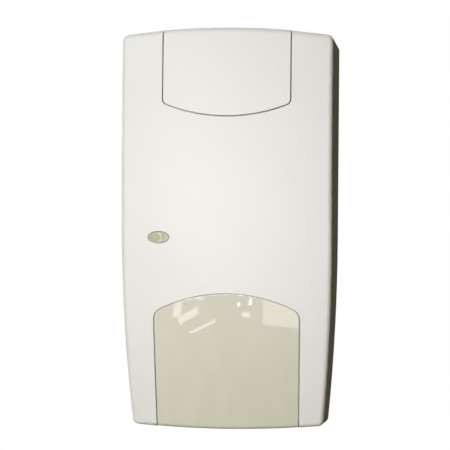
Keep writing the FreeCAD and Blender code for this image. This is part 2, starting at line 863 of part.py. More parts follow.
def make_base():
    """The tray with what stands in it. Posts and rails start halfway into the floor that carries them."""
    root = S.base_floor / 2
    level = S.cover_screw_level
    parts = make_tray()
    parts.append(rod("screw_pillar", 0, level, (root, S.pillar_depth - S.shut_line), S.pillar_radius))
    for side, word in ((-1, "left"), (1, "right")):
        for z, row in ((S.post_upper, "upper"), (S.post_lower, "lower")):
            post_span = (root, S.board_depth)
            parts.append(rod(f"{row}_{word}_post", side * S.post_offset, z, post_span, S.post_radius))
        rail_x = centred(side * (S.mirror_width / 2 - S.mirror_rail), S.mirror_rail)
        rail_z = (S.mirror_bottom, S.mirror_top)
        parts.append(block(f"{word}_mirror_rail", rail_x, (root, S.mirror_back), rail_z))
        parts.append(mirror_hook(side, word))
        parts.append(board_hook(side, word))
        parts.extend(catch(side, word))
    solid = fuse("base_solid", *parts)

    holes = [bevel_form("trim_bevels", 0)]
    pilot_span = (S.pillar_depth - S.screw_reach - S.pilot_spare, S.pillar_depth + PAST)
    holes.append(rod("pillar_pilot", 0, level, pilot_span, S.screw_radius + S.thread_gap))
    floor_span = (-PAST, S.base_floor + PAST)
    for side, word in ((-1, "left"), (1, "right")):
        hole_z = side * S.wall_screw_spacing / 2
        holes.append(rod(f"wall_hole_{word}", 0, hole_z, floor_span, S.wall_screw_bore))
        entry_x = centred(side * S.cable_entry_offset, S.cable_entry_width)
        entry_z = centred(S.cable_entry_level, S.cable_entry_height)
        holes.append(block(f"{word}_cable_entry", entry_x, floor_span, entry_z))
        for z, row in ((S.knockout_level, "upper"), (-S.knockout_level, "lower")):
            holes.append(knockout(f"{row}_{word}_knockout", side, z))
    for z, row in ((S.post_upper, "upper"), (S.post_lower, "lower")):
        span = (S.board_depth - S.board_screw_bite - S.pilot_spare, S.board_depth + PAST)
        holes.append(rod(f"{row}_post_pilot", S.post_offset, z, span, S.board_screw + S.thread_gap))
    return piece(cut("rear_base_form", solid, *holes), "rear_base")


# Screws


def slotted_screw(name, x, z, shank_span, radius, head):
    """A plain shank under a head, given by its radius and its rise, with a driver slot."""
    head_radius, head_rise = head
    seat = shank_span[1]
    top = seat + head_rise
    shank = rod(f"{name}_shank", x, z, shank_span, radius)
    head_disc = rod(f"{name}_head", x, z, (seat, top), head_radius)
    slot_x = centred(x, 2 * head_radius + PAST)
    slot = block(f"{name}_slot", slot_x, (top - S.driver_slot_depth, top + PAST), centred(z, S.driver_slot))
    return cut(name, fuse(f"{name}_solid", shank, head_disc), slot)


def make_cover_screw():
    seat = S.pillar_depth + S.well_web
    tip = S.pillar_depth - S.screw_reach
    head = (S.screw_head, S.screw_head_rise)
    screw = slotted_screw("cover_screw_form", 0, S.cover_screw_level, (tip, seat), S.screw_radius, head)
    return piece(screw, "cover_screw")


def make_board_screws():
    span = (S.board_depth - S.board_screw_bite, board_front())
    head = (S.board_screw_head, S.board_screw_rise)
    screws = []
    for z, row in ((S.post_upper, "upper"), (S.post_lower, "lower")):
        screws.append(slotted_screw(f"{row}_board_screw", S.post_offset, z, span, S.board_screw, head))
    return piece(fuse("board_screws_group", *screws), "board_screws")


# Mirror and sensor


FACET_COUNT = 6


def focus_depth():
    return S.body_depth - S.focus_setback


def facet_cutter(index):
    """Half the inside of a paraboloid about the shared focus, between two planes of sight from that focus."""
    step = (SIZES["facet_last_sight"] - SIZES["facet_first_sight"]) / FACET_COUNT
    low_sight = SIZES["facet_first_sight"] + index * step
    middle = math.radians(low_sight + step / 2)
    down = math.radians(SIZES["zone_far"] * SIZES["zone_ratio"] ** (FACET_COUNT - 1 - index))
    depth = focus_depth().number
    focus = FreeCAD.Vector(0, -depth, SIZES["focus_level"])
    distance = (depth - SIZES["mirror_face"]) / math.cos(middle)
    focal = distance * (1 + math.cos(middle + down)) / 2
    opening = FreeCAD.Vector(0, -math.cos(down), -math.sin(down))
    vertex = focus - opening * focal
    length = 2 * depth
    parabola = Part.Parabola()
    parabola.Focal = focal
    reach = math.sqrt(4 * focal * length)
    bend = Part.ArcOfParabola(parabola, 0, reach).toBSpline().toShape()
    tip = FreeCAD.Vector(0, 0, 0)
    rim = FreeCAD.Vector(length, reach, 0)
    base = FreeCAD.Vector(length, 0, 0)
    profile = Part.Face(Part.Wire([bend, Part.makeLine(rim, base), Part.makeLine(base, tip)]))
    axis = FreeCAD.Vector(1, 0, 0)
    profile.rotate(tip, axis, -90)
    bowl = profile.revolve(tip, axis, 180)
    towards_mirror = FreeCAD.Vector(0, math.sin(down), -math.cos(down))
    turn = FreeCAD.Rotation(opening, towards_mirror, opening.cross(towards_mirror), "XYZ")
    bowl.Placement = FreeCAD.Placement(vertex, turn)
    half = SIZES["mirror_width"] / 2 - SIZES["mirror_rim"]
    start = focus - FreeCAD.Vector(half, 0, 0)
    rays = []
    for sight in (low_sight, low_sight + step):
        angle = math.radians(sight)
        rays.append(start + FreeCAD.Vector(0, math.cos(angle), -math.sin(angle)) * length)
    sector = Part.Face(Part.makePolygon([start, rays[0], rays[1], start]))
    return bowl.common(sector.extrude(FreeCAD.Vector(2 * half, 0, 0)))


def make_mirror():
    blank_z = (S.mirror_bottom, S.mirror_top)
    blank = block("mirror_blank", centred(0, S.mirror_width), (S.mirror_back, S.mirror_front), blank_z)
    rim = S.mirror_pocket_rim
    pocket_depth = (S.mirror_back - PAST, S.mirror_face - S.mirror_web)
    pocket_z = (S.mirror_bottom + rim, S.mirror_top - rim)
    pocket = block("mirror_pocket", centred(0, S.mirror_width - 2 * rim), pocket_depth, pocket_z)
    facets = doc.addObject("Part::Feature", "mirror_facets")
    cutters = [facet_cutter(index) for index in range(FACET_COUNT)]
    facets.Shape = cutters[0].fuse(cutters[1:])
    return piece(cut("mirror_form", blank, pocket, facets), "curtain_mirror")


def aim_at_mirror(item, along):
    """Places a piece made along +Z so that +Z looks from the focus at the mirror, shifted by along."""
    item.Placement.Rotation = FreeCAD.Rotation(FreeCAD.Vector(1, 0, 0), -90 - SIZES["sensor_tilt"])
    bind(item, "Placement.Rotation.Angle", -90 - S.sensor_tilt)
    bind(item, "Placement.Base.y", along * cosine(S.sensor_tilt) - focus_depth())
    bind(item, "Placement.Base.z", S.focus_level - along * sine(S.sensor_tilt))
    return item


def upright_rod(name, x, y, z_span, radius):
    item = doc.addObject("Part::Cylinder", name)
    bind(item, "Radius", radius)
    bind(item, "Height", z_span[1] - z_span[0])
    bind(item, "Placement.Base.x", x)
    bind(item, "Placement.Base.y", y)
    bind(item, "Placement.Base.z", z_span[0])
    return item


def upright_block(name, x_span, y_span, z_span):
    return block(name, x_span, (-y_span[1], -y_span[0]), z_span)


def leg_places():
    for turn in (-90, 30, 150):
        angle = math.radians(turn)
        yield S.leg_circle * math.cos(angle), S.leg_circle * math.sin(angle)


def make_sensor():
    flange = upright_rod("can_flange_disc", 0, 0, (0, S.can_flange_thick), S.can_flange)
    can = upright_rod("can_tube", 0, 0, (0, S.can_height), S.can_radius)
    pocket_z = (S.can_height - S.filter_thick, S.can_height + PAST)
    pocket = upright_block("can_pocket", centred(0, S.filter_width), centred(0, S.filter_length), pocket_z)
    legs = []
    for index, (x, y) in enumerate(leg_places(), start=1):
        legs.append(upright_rod(f"can_leg_{index}", x, y, (-S.leg_length, S.can_flange_thick), S.leg_radius))
    sensor = cut("sensor_form", fuse("sensor_solid", flange, can, *legs), pocket)
    filter_x = centred(0, S.filter_width - 2 * S.filter_gap)
    filter_y = centred(0, S.filter_length - 2 * S.filter_gap)
    filter_z = (S.can_height - S.filter_thick, S.can_height)
    plate = upright_block("filter_plate", filter_x, filter_y, filter_z)
    within_can = upright_rod("filter_bound", 0, 0, filter_z, S.can_radius)
    window = common("filter_form", plate, within_can)
    for item, label in ((sensor, "pyro_sensor"), (window, "sensor_filter")):
        piece(aim_at_mirror(item, -S.can_height), label)


def make_bracket():
    side = centred(0, S.bracket_plate)
    plate = upright_block("bracket_plate_form", side, side, (-S.bracket_plate_thick, 0))
    holes = []
    for index, (x, y) in enumerate(leg_places(), start=1):
        span = (-S.bracket_plate_thick - PAST, PAST)
        holes.append(upright_rod(f"bracket_hole_{index}", x, y, span, S.leg_radius + S.leg_gap))
    seat = aim_at_mirror(cut("bracket_seat", plate, *holes), -S.can_height)
    plate_top = focus_depth() + (S.can_height + S.bracket_plate_thick / 2) * cosine(S.sensor_tilt)
    arm_end = plate_top - S.bracket_plate / 2 * sine(S.sensor_tilt)
    arm_z = (S.bracket_arm_low, S.bracket_arm_high)
    arm = block("bracket_arm", centred(0, S.bracket_arm_width), (board_front(), arm_end), arm_z)
    foot_depth = (board_front(), board_front() + S.bracket_foot_thick)
    foot_z = (S.bracket_foot_low, S.bracket_foot_high)
    foot = block("bracket_foot", centred(0, S.bracket_foot_width), foot_depth, foot_z)
    return piece(fuse("bracket_form", seat, arm, foot), "sensor_bracket")


# Circuit board and what it carries


def is_board_corner(edge):
    return is_square_to_wall(edge) and abs(edge.CenterOfMass.x) > board_half_width().number - LEAST_WALL


def make_board():
    body = new_body("board_body")
    sketch = add_sketch(body, "board_outline", "XZ_Plane", S.board_depth)
    half = board_half_width()
    rectangle(sketch, (-half, half), (S.board_low, S.board_high))
    for z in (S.post_upper, S.post_lower):
        circle(sketch, S.post_offset, z, S.board_screw + S.screw_gap)
    sheet_pad = pad(body, sketch, S.board_thick, "board_pad")
    round_edges(body, sheet_pad, is_board_corner, S.board_corner, "board_corners")
    return piece(body, "circuit_board")


def cased_body(name, x_span, z_span, rise, round_radius):
    """A moulded case that stands on the board, with its upright and front edges rounded."""
    body = new_body(name)
    sketch = add_sketch(body, f"{name}_outline", "XZ_Plane", board_front())
    rectangle(sketch, x_span, z_span)
    case = pad(body, sketch, rise, f"{name}_pad")
    foot = -board_front().number - TOUCH

    def leaves_board(edge):
        return min(vertex.Y for vertex in edge.Vertexes) < foot

    round_edges(body, case, leaves_board, round_radius, f"{name}_edges")
    return body


def gull_leads(name, x, z, half_case, count, sides):
    """Flat leads in rows beside a chip's case, from its edge down to the board."""
    leads = []
    foot = (board_front(), board_front() + S.lead_thick)
    inner = half_case - S.lead_bite
    outer = half_case + S.lead_reach
    shift = (count - 1) / 2
    for index in range(count):
        offset = (index - shift) * S.lead_pitch
        across_x = centred(x + offset, S.lead_width)
        across_z = centred(z + offset, S.lead_width)
        for low, high, word in ((inner, outer, "high"), (-outer, -inner, "low")):
            if "x" in sides:
                leads.append(block(f"{name}_{word}_x{index}", (x + low, x + high), foot, across_z))
            if "z" in sides:
                leads.append(block(f"{name}_{word}_z{index}", across_x, foot, (z + low, z + high)))
    return leads


def make_processor():
    x, z, side = S.processor_x, S.processor_level, S.processor_side
    case = cased_body("processor_case", centred(x, side), centred(z, side), S.processor_rise, S.chip_round)
    leads = gull_leads("processor_lead", x, z, side / 2, int(SIZES["processor_leads"]), "xz")
    return piece(fuse("processor_form", case, *leads), "processor_chip")


def make_amplifier():
    x, z = S.amplifier_x, S.amplifier_level
    x_span = centred(x, S.amplifier_width)
    z_span = centred(z, S.amplifier_length)
    case = cased_body("amplifier_case", x_span, z_span, S.processor_rise, S.chip_round)
    leads = gull_leads("amplifier_lead", x, z, S.amplifier_length / 2, int(SIZES["amplifier_leads"]), "z")
    return piece(fuse("amplifier_form", case, *leads), "amplifier_chip")


def make_relay():
    x_span = (S.relay_left, S.relay_right)
    body = cased_body("relay_case", x_span, (S.relay_low, S.relay_high), S.relay_rise, S.chip_round)
    return piece(body, "alarm_relay")


def make_regulator():
    x_span = centred(S.regulator_x, S.regulator_width)
    z_span = centred(S.regulator_level, S.regulator_length)
    body = cased_body("regulator_case", x_span, z_span, S.regulator_rise, S.chip_round)
    return piece(body, "voltage_regulator")


def make_crystal():
    x_span = (S.crystal_left, S.crystal_right)
    z_span = centred(S.crystal_level, S.crystal_height)
    body = cased_body("crystal_case", x_span, z_span, S.crystal_rise, S.crystal_round)
    return piece(body, "crystal")


def can_body(name, x, z, radius, height):
    """A drawn aluminium can that stands on the board, with its front edge rounded."""
    body = new_body(name)
    sketch = add_sketch(body, f"{name}_profile", "XZ_Plane", board_front())
    circle(sketch, x, z, radius)
    tube = pad(body, sketch, height, f"{name}_pad")
    front = -(board_front() + height).number
    def is_top_edge(edge):
        return abs(edge.CenterOfMass.y - front) < TOUCH

    round_edges(body, tube, is_top_edge, S.can_round, f"{name}_edge")
    return body


def make_capacitors():
    places = [
        (S.large_can_x, S.can_row_level, S.large_can_radius, S.large_can_height),
        (S.small_can_x, S.can_row_level, S.small_can_radius, S.small_can_height),
        (S.left_can_x, S.crystal_level, S.small_can_radius, S.small_can_height),
    ]
    cans = [can_body(f"capacitor_{index}", *place) for index, place in enumerate(places, start=1)]
    return piece(fuse("capacitors_group", *cans), "capacitors")


def header_places():
    for row in (-0.5, 0.5):
        for column in (-1, 0, 1):
            yield S.header_x + column * S.header_pitch, S.header_level + row * S.header_pitch


def make_jumpers():
    x_span = centred(S.header_x, S.header_pitch * 3)
    z_span = centred(S.header_level, S.header_pitch * 2)
    strip = block("header_strip", x_span, (board_front(), board_front() + S.header_rise), z_span)
    pins = []
    for index, (x, z) in enumerate(header_places(), start=1):
        span = (board_front() + S.header_rise / 2, board_front() + S.pin_rise)
        pins.append(block(f"header_pin_{index}", centred(x, S.pin_side), span, centred(z, S.pin_side)))
    piece(fuse("header_form", strip, *pins), "jumper_pins")
    caps = []
    seat = board_front() + S.header_rise + S.jumper_depth
    cap_depth = (seat, seat + S.jumper_rise)
    bore_depth = (seat - PAST, seat + S.jumper_rise + PAST)
    cap_z = centred(S.header_level, 2 * S.header_pitch - S.jumper_gap)
    for column, word in ((-1, "left"), (1, "right")):
        x = S.header_x + column * S.header_pitch
        cap = block(f"{word}_cap_block", centred(x, S.header_pitch - S.jumper_gap), cap_depth, cap_z)
        bores = []
        for row, place in ((-0.5, "lower"), (0.5, "upper")):
            bore_z = centred(S.header_level + row * S.header_pitch, S.pin_side)
            bores.append(block(f"{word}_cap_{place}_bore", centred(x, S.pin_side), bore_depth, bore_z))
        caps.append(cut(f"{word}_cap", cap, *bores))
    return piece(fuse("jumper_caps_group", *caps), "jumper_caps")


def make_small_parts():
    rows = [
        ("upper", S.upper_row_left, S.upper_row_level, int(SIZES["upper_row_count"])),
        ("lower", S.lower_row_left, S.lower_row_level, int(SIZES["lower_row_count"])),
        ("single", S.single_part_x, S.single_part_level, 1),
    ]
    depth_span = (board_front(), board_front() + S.small_part_rise)
    parts = []
    for word, left, z, count in rows:
        z_span = centred(z, S.small_part_length)
        for index in range(count):
            x_span = centred(left + index * S.small_part_pitch, S.small_part_width)
            parts.append(block(f"{word}_small_part_{index}", x_span, depth_span, z_span))
    return piece(fuse("small_parts_group", *parts), "resistors")


def make_lamp():
    front = board_front()
    flange_span = (front, front + S.lamp_flange_thick)
    flange = rod("lamp_flange_disc", S.guide_x, S.lens_level, flange_span, S.lamp_flange)
    bulb = rod("lamp_bulb", S.guide_x, S.lens_level, (front, front + S.lamp_height), S.lamp_radius)
    return piece(fuse("lamp_form", flange, bulb), "indicator_led")


def make_terminals():
    count = int(SIZES["terminal_count"])
    rear = board_front()
    front = rear + S.terminal_rise
    body = new_body("terminal_body")
    sketch = add_sketch(body, "terminal_profile", "YZ_Plane", S.terminal_left)
    step_z = S.terminal_high - S.terminal_ledge
    corners = [
        (-rear, S.terminal_low),
        (-front, S.terminal_low),
        (-front, step_z),
        (-(rear + S.terminal_step), S.terminal_high),
        (-rear, S.terminal_high),
    ]
    polygon(sketch, corners)
    pad(body, sketch, count * S.terminal_pitch, "terminal_pad")
    middle = (S.terminal_low + step_z) / 2
    entry_rear = rear + S.wire_hole_floor
    entry_front = entry_rear + S.wire_hole_rise
    entry_z = (S.terminal_high - S.wire_hole_reach, S.terminal_high + PAST)
    screw_front = front - S.clamp_screw_sink
    cuts = []
    screws = []
    for index in range(count):
        x = S.terminal_left + (index + 0.5) * S.terminal_pitch
        cuts.append(block(f"wire_hole_{index}", centred(x, S.wire_hole), (entry_rear, entry_front), entry_z))
        well_span = (entry_front - PAST, front + PAST)
        cuts.append(rod(f"clamp_well_{index}", x, middle, well_span, S.clamp_screw + S.clamp_screw_gap))
        screw_span = (entry_front - S.clamp_screw_bite, screw_front)
        screw = rod(f"clamp_screw_{index}", x, middle, screw_span, S.clamp_screw)
        slot_x = centred(x, 2 * S.clamp_screw + PAST)
        slot_span = (screw_front - S.clamp_slot_depth, front + PAST)
        slot = block(f"clamp_slot_{index}", slot_x, slot_span, centred(middle, S.clamp_slot))
        screws.append(cut(f"clamp_{index}", screw, slot))
    piece(cut("terminal_form", body, *cuts), "terminal_block")
    return piece(fuse("terminal_screws_group", *screws), "terminal_screws")


def make_switch():
    x_span = (S.switch_left, S.switch_right)
    case = cased_body("switch_case", x_span, (S.switch_low, S.switch_high), S.switch_rise, S.chip_round)
    middle = (S.switch_low + S.switch_high) / 2
    top = board_front() + S.switch_rise
    bore_span = (top - S.plunger_bore, top + PAST)
    bore = rod("plunger_hole", S.plunger_x, middle, bore_span, S.plunger_radius + S.lever_gap)
    piece(cut("switch_form", case, bore), "tamper_switch")
    plunger_span = (top - S.plunger_bore, top + S.plunger_rise)
    piece(rod("plunger_form", S.plunger_x, middle, plunger_span, S.plunger_radius), "switch_plunger")
    blade_rear = top + S.plunger_rise + S.lever_gap
    blade_span = (blade_rear, blade_rear + S.lever_thick)
    lever_z = centred(middle, S.lever_width)
    root_left = S.switch_left + S.chip_round
    blade = block("lever_blade", (root_left, S.switch_right), blade_span, lever_z)
    root = block("lever_foot", (root_left, root_left + S.lever_root), (top, blade_span[1]), lever_z)
    return piece(fuse("lever_form", blade, root), "switch_lever")


def build():
    proud = skin_body("proud_skin", -S.insert_proud)
    sunk = skin_body("sunk_skin", S.window_sink)
    under = skin_body("window_under_skin", S.window_sink + S.window_thick)
    seat = skin_body("window_seat_skin", S.window_sink + S.window_thick + S.window_seat_gap)
    make_housing(seat)
    make_insert(proud)
    make_window(sunk, under)
    make_lens(proud)
    make_base()
    make_cover_screw()
    make_board_screws()
    make_mirror()
    make_sensor()
    make_bracket()
    make_board()
    make_processor()
    make_amplifier()
    make_relay()
    make_regulator()
    make_crystal()
    make_capacitors()
    make_jumpers()
    make_small_parts()
    make_lamp()
    make_terminals()
    make_switch()
    doc.recompute()


def check_document():
    for item in doc.Objects:
        if "Invalid" in item.State or "Error" in item.State:
            raise RuntimeError(f"{item.Name} failed: {item.State}")
    for item in pieces:
        shape = item.Shape
        if shape.isNull() or not shape.isValid() or not shape.Solids:
            raise RuntimeError(f"{item.Label} has no valid solid")


def write_parts():
    os.makedirs("parts", exist_ok=True)
    for item in pieces:
        item.Shape.exportStep(f"parts/{item.Label}.step")


build()
check_document()
write_parts()
for item in pieces:
    box = item.Shape.BoundBox
    print(f"{item.Label}: {len(item.Shape.Solids)} solid, {item.Shape.Volume:.1f} mm3,", end=" ")
    print(f"x {box.XMin:.2f} {box.XMax:.2f}, y {box.YMin:.2f} {box.YMax:.2f},", end=" ")
    print(f"z {box.ZMin:.2f} {box.ZMax:.2f}")
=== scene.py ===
import math

import bpy
import numpy as np
from mathutils import Matrix, Quaternion, Vector

# Looks of a wall-mounted curtain motion detector: moulded shells, a milky window, and the parts behind
# them. X points right as seen from the front, the wall is y = 0 with the front towards -Y, and Z points
# up, in metres.

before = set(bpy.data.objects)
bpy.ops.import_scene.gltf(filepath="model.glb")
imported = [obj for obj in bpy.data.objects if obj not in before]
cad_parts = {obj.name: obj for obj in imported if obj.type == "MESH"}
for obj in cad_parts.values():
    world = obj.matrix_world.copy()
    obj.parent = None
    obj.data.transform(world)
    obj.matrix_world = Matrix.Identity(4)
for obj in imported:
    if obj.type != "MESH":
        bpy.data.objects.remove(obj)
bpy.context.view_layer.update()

MM = 0.001

# The crowned face of the housing, the insert and the window, in mm: it falls away from its highest point,
# at this level and depth, by arcs of these radii.
CROWN_ACROSS, CROWN_UP, CROWN_LEVEL, CROWN_DEPTH = 260.0, 390.0, 42.0, 50.0


def box_mm(node_name):
    """The lowest and the highest corner of a CAD node, in mm."""
    points = np.array([vertex.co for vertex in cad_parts[node_name].data.vertices]) / MM
    return points.min(axis=0), points.max(axis=0)


# Shader helpers


def linear(code):
    """An sRGB hex colour as the linear colour that a shader reads."""
    values = [int(code[i:i + 2], 16) / 255 for i in (1, 3, 5)]
    return tuple(v / 12.92 if v <= 0.04045 else ((v + 0.055) / 1.055) ** 2.4 for v in values) + (1.0,)


def add(tree, kind, inputs=(), **settings):
    """Adds one node. Settings are its properties. Inputs, by their order or name, are values or the sockets
    that feed them. A Mix node has its factor first, its vectors at 4 and 5, and its colours at 6 and 7."""
    item = tree.nodes.new("ShaderNode" + kind)
    for name, value in settings.items():
        setattr(item, name, value)
    for name, value in inputs.items() if isinstance(inputs, dict) else enumerate(inputs):
        if isinstance(value, bpy.types.NodeSocket):
            tree.links.new(value, item.inputs[name])
        else:
            item.inputs[name].default_value = value
    return item


def blank(name):
    """An empty material and its node tree."""
    material = bpy.data.materials.new(name)
    material.use_nodes = True
    material.node_tree.nodes.clear()
    return material, material.node_tree


def per_metre(size_mm):
    """The texture scale whose features are about size_mm wide."""
    return 1.0 / (size_mm * MM)


def on_crown(tree, place, edge):
    """The edge's normals, with the crown's own in their place on the face itself, where a few of the mesh's
    normals lean by up to 16 degrees. The crown leans by x / 260 mm across and by (z - 42 mm) / 390 mm
    upwards. It takes over where the facet follows it and no rounded edge is near."""
    slope = (1.0 / (CROWN_ACROSS * MM), 0.0, 1.0 / (CROWN_UP * MM))
    start = (0.0, -1.0, -CROWN_LEVEL / CROWN_UP)
    lean = add(tree, "VectorMath", (place, slope, start), operation="MULTIPLY_ADD").outputs[0]
    crown = add(tree, "VectorMath", (lean,), operation="NORMALIZE").outputs[0]
    facet = add(tree, "NewGeometry").outputs["True Normal"]
    facet_match = add(tree, "VectorMath", (facet, crown), operation="DOT_PRODUCT").outputs["Value"]
    edge_match = add(tree, "VectorMath", (edge, crown), operation="DOT_PRODUCT").outputs["Value"]
    facet_off, facet_on, edge_off, edge_on = np.cos(np.radians((4.0, 2.5, 20.0, 16.5))).tolist()
    on_face = add(tree, "MapRange", (facet_match, facet_off, facet_on, 0.0, 1.0)).outputs[0]
    off_edge = add(tree, "MapRange", (edge_match, edge_off, edge_on, 0.0, 1.0)).outputs[0]
    share = add(tree, "Math", (on_face, off_edge), operation="MULTIPLY").outputs[0]
    return add(tree, "Mix", {0: share, 4: edge, 5: crown}, data_type="VECTOR").outputs[1]


# Finishes


def moulded(
    name,
    light,
    deep,
    grain_mm,
    grain_height_mm,
    smoothest,
    roughest,
    edge_mm=0.15,
    subsurface=0.0,
    crowned=False,
):
    """An injection-moulded plastic: faint flow shading over the piece, and the tool's eroded grain as a
    bump. The grain varies the roughness too, so that a highlight breaks up as it does on a real moulding.
    The tool leaves each edge slightly round, which shows as a thin line, lighter or darker than the face."""
    material, tree = blank(name)
    place = add(tree, "TexCoord").outputs["Object"]
    flow = add(tree, "TexNoise", {"Vector": place, "Scale": per_metre(45), "Detail": 2.0}).outputs[0]
    grain = add(tree, "TexNoise", {"Vector": place, "Scale": per_metre(grain_mm), "Detail": 3.0}).outputs[0]
    shade = add(tree, "MapRange", (flow, 0.35, 0.65, 0.0, 1.0)).outputs[0]
    colour = add(tree, "Mix", {0: shade, 6: linear(light), 7: linear(deep)}, data_type="RGBA").outputs[2]
    edge = add(tree, "Bevel", {"Radius": edge_mm * MM}, samples=6).outputs[0]
    if crowned:
        edge = on_crown(tree, place, edge)
    shader = add(
        tree,
        "BsdfPrincipled",
        {
            "Base Color": colour,
            "Roughness": add(tree, "MapRange", (grain, 0.3, 0.7, smoothest, roughest)).outputs[0],
            "Normal": add(
                tree, "Bump", {"Distance": grain_height_mm * MM, "Height": grain, "Normal": edge}
            ).outputs[0],
            "IOR": 1.53,
            "Subsurface Weight": subsurface,
            "Subsurface Scale": 1.2 * MM,
            "Subsurface Radius": (1.0, 0.85, 0.55),
        },
    )
    add(tree, "OutputMaterial", {"Surface": shader.outputs[0]})
    return material


def window_polyethylene():
    """Milky polyethylene, moulded against a polished tool. It is a shade greener and darker than the
    housing, glossy, with painted shade that darkens it towards the bottom, and faint upright flow lines
    where the melt ran down from the arch."""
    material, tree = blank("polished_milky_polyethylene")
    place = add(tree, "TexCoord").outputs["Object"]
    height = add(tree, "SeparateXYZ", (place,)).outputs["Z"]
    stretched = add(tree, "Mapping", {"Vector": place, "Scale": (1.0, 1.0, 0.12)}).outputs[0]
    lines = add(
        tree, "TexNoise", {"Vector": stretched, "Scale": per_metre(5), "Detail": 2.0, "Roughness": 0.45}
    ).outputs[0]
    cloud = add(tree, "TexNoise", {"Vector": place, "Scale": per_metre(18), "Detail": 1.0}).outputs[0]
    # Painted shade: the body colour darkens from the top of the window towards the bottom.
    low, high = box_mm("optical_window")
    shade_full_level, shade_none_level = low[2] + 4.7, high[2] - 3.8
    lower_shade = add(tree, "MapRange", (height, shade_full_level * MM, shade_none_level * MM, 1.0, 0.0)).outputs[0]
    body = add(
        tree, "Mix", {0: lower_shade, 6: linear("#E3E0D1"), 7: linear("#DAD8C6")}, data_type="RGBA"
    ).outputs[2]
    streak = add(tree, "MapRange", (lines, 0.4, 0.7, 0.0, 0.22)).outputs[0]
    edge = add(tree, "Bevel", {"Radius": 0.3 * MM}, samples=6).outputs[0]
    shader = add(
        tree,
        "BsdfPrincipled",
        {
            "Base Color": add(
                tree, "Mix", {0: streak, 6: body, 7: linear("#EAE8DA")}, data_type="RGBA"
            ).outputs[2],
            "Roughness": add(tree, "MapRange", (lines, 0.3, 0.7, 0.012, 0.03)).outputs[0],
            "Normal": add(
                tree, "Bump", {"Strength": 0.35, "Distance": 0.02 * MM, "Height": cloud, "Normal": edge}
            ).outputs[0],
            "IOR": 1.54,
            "Subsurface Weight": 0.12,
            "Subsurface Scale": 1.5 * MM,
            "Subsurface Radius": (1.0, 0.9, 0.6),
        },
    )
    add(tree, "OutputMaterial", {"Surface": shader.outputs[0]})
    return material


def lens_polycarbonate():
    """Finely frosted polycarbonate over the lamp. Its flat end looks smoky, and the round end of the light
    guide shows as a warmer disc, with a painted highlight curving along its side towards the flat end.
    The colour darkens along the oval outline as painted shade: the distance to it is the one from a
    straight middle line, 1.55 mm long each way."""
    material, tree = blank("frosted_moulded_polycarbonate")
    place = add(tree, "TexCoord").outputs["Object"]
    across = add(tree, "SeparateXYZ", (place,)).outputs["X"]
    flat = add(tree, "VectorMath", (place, (1.0, 0.0, 1.0)), operation="MULTIPLY").outputs[0]
    low, high = box_mm("led_lens")
    middle = Vector(((low[0] + high[0]) / 2, 0.0, (low[2] + high[2]) / 2))
    guide = middle - Vector((1.0, 0.0, 0.0))
    straight, end_radius = Vector((1.55, 0.0, 0.0)), 1.65
    gap = add(tree, "VectorMath", (flat, guide * MM), operation="DISTANCE").outputs["Value"]
    disc = add(tree, "MapRange", (gap, 0.4 * MM, 1.7 * MM, 1.0, 0.0)).outputs[0]
    # A painted highlight: a light band along the guide's round edge, strongest towards the flat end.
    ring = add(tree, "Math", (gap, 1.8 * MM, 0.28 * MM), operation="COMPARE").outputs[0]
    left, right = (middle.x - 0.4) * MM, (middle.x + 0.1) * MM
    side = add(tree, "MapRange", (across, left, right, 0.0, 0.9)).outputs[0]
    highlight_band = add(tree, "Math", (ring, side), operation="MULTIPLY").outputs[0]
    # Painted shade: the colour darkens near the oval outline, by the distance beyond a straight middle line.
    offset = add(tree, "VectorMath", (flat, middle * MM), operation="SUBTRACT").outputs[0]
    mirrored = add(tree, "VectorMath", (offset,), operation="ABSOLUTE").outputs[0]
    beyond = add(tree, "VectorMath", (mirrored, straight * MM), operation="SUBTRACT").outputs[0]
    outside = add(tree, "VectorMath", (beyond, (0.0, 0.0, 0.0)), operation="MAXIMUM").outputs[0]
    reach = add(tree, "VectorMath", (outside,), operation="LENGTH").outputs["Value"]
    outline_shade = add(tree, "MapRange", (reach, 1.3 * MM, end_radius * MM, 0.0, 0.4)).outputs[0]
    smoky = add(
        tree, "Mix", {0: disc, 6: linear("#9B9C76"), 7: linear("#A69B66")}, data_type="RGBA"
    ).outputs[2]
    # The light band is painted in as a highlight.
    highlighted = add(tree, "Mix", {0: highlight_band, 6: smoky, 7: linear("#C2C198")}, data_type="RGBA").outputs[2]
    grain = add(tree, "TexNoise", {"Vector": place, "Scale": per_metre(0.8), "Detail": 2.0}).outputs[0]
    shader = add(
        tree,
        "BsdfPrincipled",
        {
            # The darker outline is painted shade.
            "Base Color": add(
                tree, "Mix", {0: outline_shade, 6: highlighted, 7: linear("#98977A")}, data_type="RGBA"
            ).outputs[2],
            "Roughness": add(tree, "MapRange", (grain, 0.3, 0.7, 0.36, 0.48)).outputs[0],
            "Normal": add(
                tree, "Bump", {"Strength": 0.4, "Distance": 0.03 * MM, "Height": grain}
            ).outputs[0],
            "IOR": 1.58,
            "Transmission Weight": 0.25,
        },
    )
    add(tree, "OutputMaterial", {"Surface": shader.outputs[0]})
    return material


